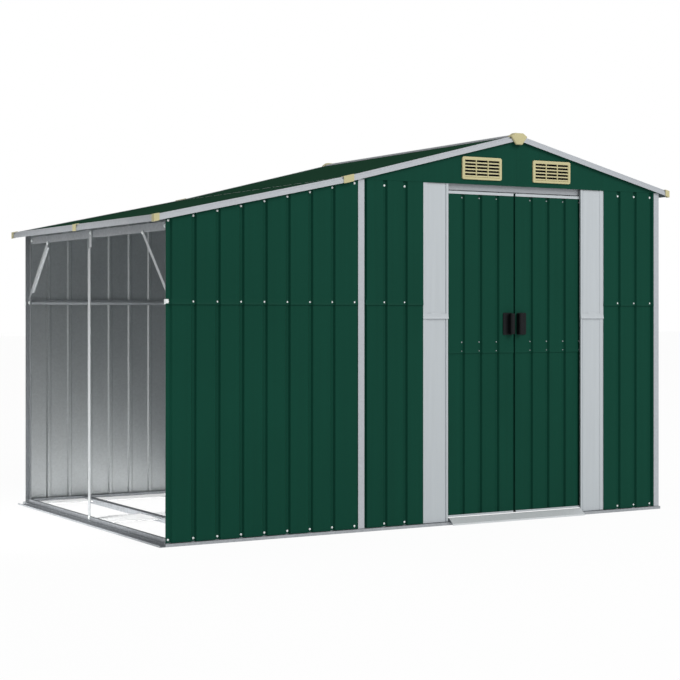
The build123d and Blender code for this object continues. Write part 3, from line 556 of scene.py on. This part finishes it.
def coated_panel(name, colour, sizes):
    """Pale polyester-coated steel strip: an even satin grey with a faint peel and drawn streaks."""
    # The eye gets a near-white grey whose shade drifts slightly up the panel.
    material, tree, shader, place = start_material(name)
    stretch = (1 / sizes.streak, 1 / sizes.streak, 1 / sizes.cloud)
    drawn = add(tree, "ShaderNodeMapping", {"Vector": place.outputs["Object"], "Scale": stretch})
    streak = add(tree, "ShaderNodeTexNoise", {"Vector": drawn.outputs["Vector"], "Scale": 1, "Detail": 3})
    coat = drift(tree, streak.outputs[0], colour, 0.94, 1.05)
    peel = add(tree, "ShaderNodeTexNoise", {"Vector": place.outputs["Object"], "Scale": 1 / sizes.peel})
    bump = add(tree, "ShaderNodeBump",
               {"Strength": 0.05, "Distance": sizes.peel_depth, "Height": peel.outputs[0]})
    rough = add(tree, "ShaderNodeMapRange", {0: streak.outputs[0], 1: 0.3, 2: 0.7, 3: 0.42, 4: 0.52})
    tree.links.new(coat, shader.inputs["Base Color"])
    tree.links.new(rough.outputs[0], shader.inputs["Roughness"])
    tree.links.new(bump.outputs[0], shader.inputs["Normal"])
    shader.inputs["Specular IOR Level"].default_value = 0.4
    return material


def moulded_plastic(name, colour, sizes, roughness, gloss):
    """Injection-moulded plastic: an even colour with a fine dimpled skin."""
    # The eye gets a soft broad highlight broken up by the mould's grain.
    material, tree, shader, place = start_material(name)
    grain = add(tree, "ShaderNodeTexNoise", {"Vector": place.outputs["Object"], "Scale": 1 / sizes.grain})
    cloud = add(tree, "ShaderNodeTexNoise",
                {"Vector": place.outputs["Object"], "Scale": 8 / sizes.cloud, "Detail": 3})
    skin = drift(tree, cloud.outputs[0], colour, 0.92, 1.07)
    rough = add(tree, "ShaderNodeMapRange", {0: grain.outputs[0], 1: 0.3, 2: 0.7,
                                             3: roughness - ROUGHNESS_SWING, 4: roughness + ROUGHNESS_SWING})
    bump = add(tree, "ShaderNodeBump",
               {"Strength": 0.12, "Distance": sizes.grain_depth, "Height": grain.outputs[0]})
    tree.links.new(skin, shader.inputs["Base Color"])
    tree.links.new(rough.outputs[0], shader.inputs["Roughness"])
    tree.links.new(bump.outputs[0], shader.inputs["Normal"])
    shader.inputs["Specular IOR Level"].default_value = gloss
    return material


def insect_mesh(name, colour, sizes):
    """Woven insect mesh: dark strands that cross, with darker holes between them that are painted shade seen
    through them.
    """
    # The eye gets a near-black field, partly the mesh's own colour and partly painted shade; the weave shows
    # only close by.
    material, tree, shader, place = start_material(name)
    waves = [add(tree, "ShaderNodeTexWave",
                 {"Vector": place.outputs["Object"], "Scale": WAVE_PERIOD / sizes.mesh_cell},
                 bands_direction=axis) for axis in ("X", "Z")]
    weave = add(tree, "ShaderNodeMath", {0: waves[0].outputs[1], 1: waves[1].outputs[1]},
                operation="MAXIMUM")
    tree.links.new(drift(tree, weave.outputs[0], colour, 0.25, 0.9), shader.inputs["Base Color"])
    shader.inputs["Roughness"].default_value = 0.8
    shader.inputs["Specular IOR Level"].default_value = 0.05
    return material


def finish_nodes(names, material):
    """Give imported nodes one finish."""
    for name in names:
        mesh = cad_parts[name].data
        mesh.materials.clear()
        mesh.materials.append(material)


# Operators

class SHED_OT_sheets(bpy.types.Operator):
    """Paint the ribbed and plain sheets outside and leave them bare zinc inside"""

    bl_idname = "shed.sheets"
    bl_label = "Finish sheets"

    def execute(self, context):
        colours, sizes = context.scene.shed_colours, context.scene.shed_sizes
        for side, (outward, names) in SHEETS.items():
            paint = colours.roof_paint if outward == UP else colours.paint
            name = f"powder_coated_sheet_{side}"
            finish_nodes(names, powder_coated_sheet(name, outward, paint, colours.bare_zinc, sizes))
        return {"FINISHED"}


class SHED_OT_frame(bpy.types.Operator):
    """Finish the galvanised frame, the silver posts and trims and the pale panels"""

    bl_idname = "shed.frame"
    bl_label = "Finish frame"

    def execute(self, context):
        colours, sizes = context.scene.shed_colours, context.scene.shed_sizes
        # The depth is how far the shade of a finish's crystals goes up and down.
        for names, finish, colour, depth, metallic, roughness in (
            (ZINC_NODES, "galvanised_steel", colours.zinc, 0.1, 0.85, 0.42),
            # Painted light: the threshold gets the lighter zinc for the light that falls on it.
            (THRESHOLD_NODES, "lit_zinc_sheet", colours.lit_zinc, 0.03, 0.5, 0.44),
            # Painted shade: the track gets the darker zinc, not the trims' silver, for the shade under the
            # gable's edge.
            (TRACK_NODES, "smooth_zinc_rail", colours.zinc, 0.04, 0.7, 0.45),
            # Painted light: lighter zinc for the light on the braces and the open end's post.
            (LIT_BRACE_NODES, "lit_zinc_strip", colours.brace_lit_zinc, 0.04, 0.7, 0.38),
            # Painted shade: darker zinc for the shade on the bay's posts and girts.
            (SHADED_ZINC_NODES, "shaded_zinc_steel", colours.shaded_zinc, 0.04, 0.7, 0.45),
            (SILVER_NODES, "zinc_coated_strip", colours.silver, 0.04, 0.5, 0.48),
            # Painted shade: the inner wall's darker zinc paints a darker reflection into the bay.
            (PARTITION_NODES, "bare_zinc_sheet", colours.shaded_zinc, 0.05, 1, 0.36),
        ):
            finish_nodes(names, zinc_coat(finish, colour, sizes, depth, metallic, roughness))
        finish_nodes(PALE_NODES, coated_panel("polyester_coated_panel", colours.pale, sizes))
        # Painted light: near-white floor plates that show lit in the bay's shade.
        finish_nodes(WHITE_NODES, coated_panel("white_lit_floor_panel", colours.white, sizes))
        return {"FINISHED"}


class SHED_OT_plastics(bpy.types.Operator):
    """Finish the beige vents and caps and the black handles"""

    bl_idname = "shed.plastics"
    bl_label = "Finish plastics"

    def execute(self, context):
        colours, sizes = context.scene.shed_colours, context.scene.shed_sizes
        beige = moulded_plastic("moulded_beige_plastic", colours.beige, sizes, roughness=0.5, gloss=0.5)
        black = moulded_plastic("moulded_black_plastic", colours.black, sizes, roughness=0.42, gloss=0.15)
        finish_nodes(BEIGE_NODES, beige)
        finish_nodes(BLACK_NODES, black)
        return {"FINISHED"}


class SHED_OT_rivets(bpy.types.Operator):
    """Set rows of rivets in the grooves of the walls and the doors"""

    bl_idname = "shed.rivets"
    bl_label = "Set rivets"

    def execute(self, context):
        colours, sizes = context.scene.shed_colours, context.scene.shed_sizes
        metal = zinc_coat("plated_rivet_steel", colours.rivet, sizes, depth=0.03, metallic=0.1,
                          roughness=0.4)
        dull = zinc_coat("dull_rivet_steel", colours.zinc, sizes, depth=0.05, metallic=0.3, roughness=0.5)
        for name, outward in (("lean_to_front_wall", FRONT), ("front_wall_left", FRONT),
                              ("front_wall_right", FRONT), ("lean_to_back_wall", BACK),
                              ("back_wall", BACK), ("right_wall", RIGHT)):
            self.wall_rows(name, outward, sizes, metal)
        for side in ("left", "right"):
            self.door_rows(side, sizes, dull)
        return {"FINISHED"}

    def wall_rows(self, name, outward, sizes, metal):
        """Rows at the foot, the seam and the top edge of a wall, one rivet in each groove.

        A lean-to wall has one more rivet in each row, on its flat end beside the middle post; the top
        one follows the slope of the wall's edge.
        """
        along = 1 if outward in (LEFT, RIGHT) else 0
        places, depth = groove_places(name, along, outward)
        top = edge_heights(name, along, places) - sizes.top_drop
        foot, seam = np.full_like(top, sizes.bottom_row), np.full_like(top, sizes.seam_row)
        rows = [(foot, depth + sizes.foot_seat), (seam, depth + sizes.lap_seat),
                (top, depth + sizes.lap_seat)]
        points = [np.stack([places, np.full_like(places, lift), height], 1) for height, lift in rows]
        if name.startswith("lean_to"):
            end = shown_ends(name, along, outward)[1] - sizes.end_row
            rise = (top[-1] - top[-2]) / (places[-1] - places[-2]) * (end - places[-1])
            heights = (sizes.bottom_row, sizes.seam_row, top[-1] + rise)
            points.append(np.array([(end, lift + sizes.rib_depth, height)
                                    for height, (_, lift) in zip(heights, rows)]))
        points = np.concatenate(points)
        heads = rivet_profile(sizes.head_radius, sizes.head_height)
        self.set_heads(f"{name}_rivets", points, along, outward, heads, sizes.turns, metal, "shed")

    def door_rows(self, side, sizes, metal):
        """Rows at the lap of a leaf's courses and at its top."""
        places, depth = groove_places(f"{side}_door_panel", 0, FRONT)
        rows = (sizes.door_row_low, sizes.door_row_high, sizes.door_row_top)
        heights = np.repeat(rows, len(places))
        seats = np.full(len(heights), depth + sizes.lap_seat)
        points = np.stack([np.tile(places, len(rows)), seats, heights], 1)
        heads = rivet_profile(sizes.small_radius, sizes.small_height)
        self.set_heads(f"{side}_door_rivets", points, 0, FRONT, heads, sizes.turns, metal, f"{side}_door")

    def set_heads(self, name, points, along, outward, heads, turns, metal, body):
        """Turn places given along, out of and up the wall into heads on the sheet."""
        facing = np.array(outward, float)
        axis = np.eye(3)[along]
        places = points[:, :1] * axis + points[:, 1:2] * facing + points[:, 2:] * np.array(UP)
        make_piece(name, *turned_heads(places, outward, heads, turns), metal, body, "galvanised_frame")


class SHED_OT_seams(bpy.types.Operator):
    """Flare the lower edges of the upper sheets and panels where they lap over the lower ones"""

    bl_idname = "shed.seams"
    bl_label = "Flare seams"

    def execute(self, context):
        sizes = context.scene.shed_sizes
        walls = {"front": ("lean_to_front_wall", "front_wall_left", "front_wall_right"),
                 "back": ("lean_to_back_wall", "back_wall"), "right": ("right_wall",)}
        for side, names in walls.items():
            paint = bpy.data.materials[f"powder_coated_sheet_{side}"]
            outward = SHEETS[side][0]
            for name in names:
                path = self.groove_line(name, outward, sizes.wall_seam, sizes)
                shape = swept_strip(path, outward, self.flare(sizes.wall_flare, sizes))
                make_piece(f"{name}_flare", *shape, paint, "shed", "green_sheet")
        for side in ("left", "right"):
            self.leaf(side, sizes)
            self.jamb(side, sizes)
        return {"FINISHED"}

    def groove_line(self, name, outward, seam, sizes):
        """Line along a sheet's face at its seam, with four bends at each groove between its two ends."""
        points = node_points(name)
        axis = 1 if outward in (LEFT, RIGHT) else 0
        facing = np.array(outward)
        floors = groove_places(name, axis, outward)[0]
        half_mouth, half_floor = sizes.rib_mouth / 2, sizes.rib_floor / 2
        bends = np.array([(-half_mouth, 0), (-half_floor, 1), (half_floor, 1), (half_mouth, 0)])
        along = (floors[:, None] + bends[:, 0]).ravel()
        depth = np.tile(bends[:, 1], len(floors)) * sizes.rib_depth
        first, last = shown_ends(name, axis, outward)
        inside = (along > first) & (along < last)
        ends = [sizes.rib_depth * (np.abs(floors - end).min() < half_mouth) for end in (first, last)]
        along = np.concatenate([[first], along[inside], [last]])
        depth = np.concatenate([ends[:1], depth[inside], ends[1:]])
        out = (points @ facing).max() - depth
        return along[:, None] * np.eye(3)[axis] + out[:, None] * facing + seam * np.array(UP)

    def flare(self, reach, sizes):
        """Section of an edge that leans out from the sheet's face: distance out and height."""
        hair, height = sizes.hair, sizes.flare_height
        bend = (FLARE_REACH_SHARE * reach, FLARE_HEIGHT_SHARE * height)
        return [(-hair, height), (hair / 2, height), bend, (reach, 2 * hair), (reach, -hair), (-hair, -hair)]

    def leaf(self, side, sizes):
        """Flared seam of a door leaf."""
        name = f"{side}_door_panel"
        path = self.groove_line(name, FRONT, sizes.door_seam, sizes)
        shape = swept_strip(path, FRONT, self.flare(sizes.door_flare, sizes))
        paint = bpy.data.materials["powder_coated_sheet_front"]
        make_piece(f"{name}_flare", *shape, paint, f"{side}_door", "green_sheet")

    def jamb(self, side, sizes):
        """Flared seam of a jamb panel and the bead pressed out above it."""
        name = f"door_jamb_{side}"
        coat = bpy.data.materials["polyester_coated_panel"]
        points = node_points(name)
        upper = points[np.abs(points[:, 2] - sizes.jamb_seam) < sizes.hair]
        face, seam = upper[:, 1].min(), sizes.jamb_seam
        doorway, inward = (upper[:, 0].max(), -1) if side == "left" else (upper[:, 0].min(), 1)
        far = doorway + inward * sizes.jamb_width
        path = [(doorway, face, seam), (far, face, seam)]
        shape = swept_strip(path, FRONT, self.flare(sizes.jamb_flare, sizes))
        make_piece(f"{name}_flare", *shape, coat, "shed", "pale_panel")
        middle = ((doorway + far) / 2, face + sizes.bead_setback, seam + sizes.bead_lift)
        shape = raised_bead(middle, FRONT, sizes.bead_length / 2, sizes.bead_height / 2, sizes.bead_rise)
        make_piece(f"{name}_bead", *shape, coat, "shed", "pale_panel")


class SHED_OT_fixings(bpy.types.Operator):
    """Set the clips and bolts of the open end, the mesh behind the vents and the leaves' folded edges"""

    bl_idname = "shed.fixings"
    bl_label = "Set fixings"

    def execute(self, context):
        colours, sizes = context.scene.shed_colours, context.scene.shed_sizes
        plated = zinc_coat("plated_clip_steel", colours.rivet, sizes, depth=0.04, metallic=0.4,
                           roughness=0.4)
        self.clips(sizes, plated)
        self.bolts(sizes, plated)
        mesh = insect_mesh("woven_insect_mesh", colours.black, sizes)
        rubber = moulded_plastic("black_rubber_plug", colours.black, sizes, roughness=0.6, gloss=0.1)
        for side in ("left", "right"):
            self.vent_mesh(side, sizes, mesh)
            self.door_edges(side, sizes, rubber)
        return {"FINISHED"}

    def clips(self, sizes, material):
        """Clip folded round the free edge of each lean-to wall at the seam."""
        shapes = []
        for name, facing in (("lean_to_front_wall", -1), ("lean_to_back_wall", 1)):
            points = node_points(name)
            edge = points[:, 0].min()
            floor = facing * ((points[:, 1] * facing).max() - sizes.rib_depth + 2 * sizes.hair)
            outer = edge - 5 * sizes.hair
            inner = floor - facing * sizes.clip_width
            line = [(edge + sizes.clip_width, floor), (outer, floor), (outer, inner)]
            foot = sizes.wall_seam + 5 * sizes.hair
            top = foot + sizes.clip_height
            shapes.append(folded_plate(line, foot, top, -facing * sizes.clip_thickness))
        make_piece("seam_clips", *joined(shapes), material, "shed", "galvanised_frame")

    def bolts(self, sizes, material):
        """Bolt heads on the ends of the braces, the centre post and the beam, facing out of the bay."""
        brace = node_points("lean_to_braces")
        post = node_points("lean_to_centre_post")
        beam = node_points("lean_to_eave_beam")
        inset, foot_inset = sizes.bolt_inset, sizes.bolt_inset * BRACE_FOOT_SHARE
        outer, foot, top = brace[:, 0].min(), brace[:, 2].min() + inset, brace[:, 2].max() - inset
        front, back = brace[:, 1].min() + foot_inset, brace[:, 1].max() - foot_inset
        front_top = brace[brace[:, 1] < 0][:, 1].max() - inset
        back_top = brace[brace[:, 1] > 0][:, 1].min() + inset
        across = (post[:, 1].min() + post[:, 1].max()) / 2
        splice = post[post[:, 2] > post[:, 2].max() - inset][:, 0].min()
        level = (beam[:, 2].min() + beam[:, 2].max()) / 2
        places = [(outer, front, foot), (outer, back, foot),
                  (outer, front_top, top), (outer, back_top, top),
                  (splice, across, post[:, 2].max() - inset),
                  (post[:, 0].min(), across, post[:, 2].min() + inset),
                  (beam[:, 0].min(), beam[:, 1].min() + inset, level),
                  (beam[:, 0].min(), beam[:, 1].max() - inset, level)]
        profile = bolt_profile(sizes.bolt_radius, sizes.bolt_height)
        heads = turned_heads(places, LEFT, profile, sizes.bolt_turns)
        make_piece("open_end_bolts", *heads, material, "shed", "galvanised_frame")

    def vent_mesh(self, side, sizes, material):
        """Dark insect mesh close behind the slots of a vent; its near-black also paints the shade inside the
        slots.
        """
        points = node_points(f"vent_{side}")
        low, high = points.min(0) + sizes.mesh_margin, points.max(0) - sizes.mesh_margin
        back = points[:, 1].max() + sizes.hair
        shape = folded_plate([(low[0], back), (high[0], back)], low[2], high[2], sizes.mesh_thickness)
        make_piece(f"vent_mesh_{side}", *shape, material, "shed", "black_plastic")

    def door_edges(self, side, sizes, rubber):
        """Painted fold along a leaf's meeting edge and the plug round the end of its foot rail."""
        sheet, rails = node_points(f"{side}_door_panel"), node_points(f"{side}_door_frame")
        foot, top = rails[:, 2].min() + sizes.hair, sheet[:, 2].max()
        low = rails[rails[:, 2] < foot + RAIL_REACH]
        front, back = low[:, 1].min(), low[:, 1].max()
        lip = low[low[:, 1] < front + sizes.hair][:, 2].max() + sizes.hair
        if side == "left":
            meeting, outwards = max(sheet[:, 0].max(), low[:, 0].max()) + sizes.hair, 1
        else:
            meeting, outwards = min(sheet[:, 0].min(), low[:, 0].min()) - sizes.hair, -1
        thickness = -outwards * sizes.edging
        paint = bpy.data.materials["powder_coated_sheet_front"]
        line = [(meeting, front + sizes.hair), (meeting, back)]
        shape = folded_plate(line, lip + sizes.hair, top, thickness)
        make_piece(f"{side}_door_fold", *shape, paint, f"{side}_door", "green_sheet")
        face = front - sizes.hair
        line = [(meeting - outwards * sizes.plug_wing, face), (meeting, face), (meeting, back)]
        make_piece(f"{side}_door_plug", *folded_plate(line, foot, lip, thickness), rubber, f"{side}_door",
                   "black_plastic")


class SHED_OT_stage(bpy.types.Operator):
    """Set up the plain pale floor, the soft light and the camera"""

    bl_idname = "shed.stage"
    bl_label = "Set stage"

    def execute(self, context):
        scene, stage = context.scene, context.scene.shed_stage
        scene.view_settings.view_transform = "Standard"
        white = shade(scene.shed_colours.floor, 1)
        self.floor(scene, stage, white)
        self.sky(scene, stage, white)
        self.lamp(scene, "studio_lamp", stage.lamp_size, stage.lamp_power, stage.lamp_place, stage.lamp_turn)
        bay_lamp = self.lamp(scene, "open_end_lamp", stage.bay_lamp_size, stage.bay_lamp_power,
                             stage.bay_lamp_place, stage.bay_lamp_turn)
        # Metals don't mirror this lamp, which would draw bright lines down the ribs in the bay.
        bay_lamp.visible_glossy = False
        bay_lamp.data.spread = stage.bay_lamp_spread
        self.camera(scene, stage)
        return {"FINISHED"}

    def floor(self, scene, stage, white):
        """Wide flat sheet under the shed that shows as white and keeps a faint shadow."""
        corners = np.array([(-1, -1, 0), (1, -1, 0), (1, 1, 0), (-1, 1, 0)]) * stage.floor_reach
        mesh = bpy.data.meshes.new("studio_floor")
        mesh.from_pydata((corners - (0, 0, stage.floor_drop)).tolist(), [], [(0, 1, 2, 3)])
        floor = bpy.data.objects.new("studio_floor", mesh)
        material = bpy.data.materials.new("studio_floor_paper")
        material.use_nodes = True
        tree = material.node_tree
        tree.nodes.clear()
        paper = add(tree, "ShaderNodeBsdfDiffuse", {"Color": white})
        path = add(tree, "ShaderNodeLightPath")
        mirrored = path.outputs["Is Glossy Ray"]
        seen = add(tree, "ShaderNodeMath", {0: path.outputs["Is Camera Ray"], 1: mirrored},
                   operation="MAXIMUM")
        # Painted light: a patch of the open bay's floor glows brighter than white for glossy rays only, so
        # that metals show a painted reflection of light there.
        place = add(tree, "ShaderNodeTexCoord")
        away = add(tree, "ShaderNodeVectorMath", {0: place.outputs["Object"], 1: stage.patch_middle},
                   operation="DISTANCE")
        patch = add(tree, "ShaderNodeMapRange", {0: away.outputs["Value"], 1: stage.patch_inner,
                                                 2: stage.patch_outer, 3: stage.patch_glow, 4: 1})
        bright = add(tree, "ShaderNodeMix", {0: mirrored, 2: 1, 3: patch.outputs[0]})
        glow = add(tree, "ShaderNodeEmission", {"Color": white, "Strength": bright.outputs[0]})
        share = add(tree, "ShaderNodeMath", {0: seen.outputs[0], 1: stage.floor_glow}, operation="MULTIPLY")
        both = add(tree, "ShaderNodeMixShader",
                   {0: share.outputs[0], 1: paper.outputs[0], 2: glow.outputs[0]})
        add(tree, "ShaderNodeOutputMaterial", {"Surface": both.outputs[0]})
        mesh.materials.append(material)
        scene.collection.objects.link(floor)

    def sky(self, scene, stage, white):
        """Even sky that shows as white and gives a soft fill."""
        world = bpy.data.worlds.new("studio_sky")
        scene.world = world
        world.use_nodes = True
        tree = world.node_tree
        tree.nodes.clear()
        path = add(tree, "ShaderNodeLightPath")
        strength = add(tree, "ShaderNodeMapRange",
                       {0: path.outputs["Is Camera Ray"], 1: 0, 2: 1, 3: stage.sky_fill, 4: 1})
        sky = add(tree, "ShaderNodeBackground", {"Color": white, "Strength": strength.outputs[0]})
        add(tree, "ShaderNodeOutputWorld", {"Surface": sky.outputs[0]})

    def lamp(self, scene, name, size, power, place, turn):
        """Square lamp of a width and a power, hung and turned; the lamp's object is returned."""
        light = bpy.data.lights.new(name, "AREA")
        light.shape = "SQUARE"
        light.size = size
        light.energy = power
        lamp = bpy.data.objects.new(name, light)
        lamp.location = place
        lamp.rotation_euler = turn
        scene.collection.objects.link(lamp)
        return lamp

    def camera(self, scene, stage):
        """Level camera at the photograph's angle."""
        lens = bpy.data.cameras.new("camera")
        lens.sensor_width = SENSOR_WIDTH
        lens.lens = stage.camera_lens
        lens.shift_y = stage.camera_shift
        camera = bpy.data.objects.new("camera", lens)
        camera.location = stage.camera_place
        camera.rotation_euler = (radians(90), 0, stage.camera_turn)
        scene.collection.objects.link(camera)
        scene.camera = camera


OPERATORS = (SHED_OT_sheets, SHED_OT_frame, SHED_OT_plastics, SHED_OT_rivets, SHED_OT_seams,
             SHED_OT_fixings, SHED_OT_stage)


class SHED_PT_panel(bpy.types.Panel):
    """List the shed's steps and the settings that they read"""

    bl_idname = "SHED_PT_panel"
    bl_label = "Storage shed"
    bl_space_type = "VIEW_3D"
    bl_region_type = "UI"
    bl_category = "Shed"

    def draw(self, context):
        for operator in OPERATORS:
            self.layout.operator(operator.bl_idname)
        for group in (context.scene.shed_colours, context.scene.shed_sizes, context.scene.shed_stage):
            for name in group.__annotations__:
                self.layout.prop(group, name)


CLASSES = (ShedColours, ShedSizes, ShedStage, *OPERATORS, SHED_PT_panel)


def register():
    """Register the classes and hang the settings on the scene."""
    for kind in CLASSES:
        bpy.utils.register_class(kind)
    bpy.types.Scene.shed_colours = PointerProperty(type=ShedColours)
    bpy.types.Scene.shed_sizes = PointerProperty(type=ShedSizes)
    bpy.types.Scene.shed_stage = PointerProperty(type=ShedStage)


def unregister():
    """Take the settings and the classes away again."""
    del bpy.types.Scene.shed_stage
    del bpy.types.Scene.shed_sizes
    del bpy.types.Scene.shed_colours
    for kind in reversed(CLASSES):
        bpy.utils.unregister_class(kind)


def main():
    """Dress the shed step by step."""
    register()
    bpy.ops.shed.sheets()
    bpy.ops.shed.frame()
    bpy.ops.shed.plastics()
    bpy.ops.shed.rivets()
    bpy.ops.shed.seams()
    bpy.ops.shed.fixings()
    bpy.ops.shed.stage()


if __name__ == "__main__":
    main()
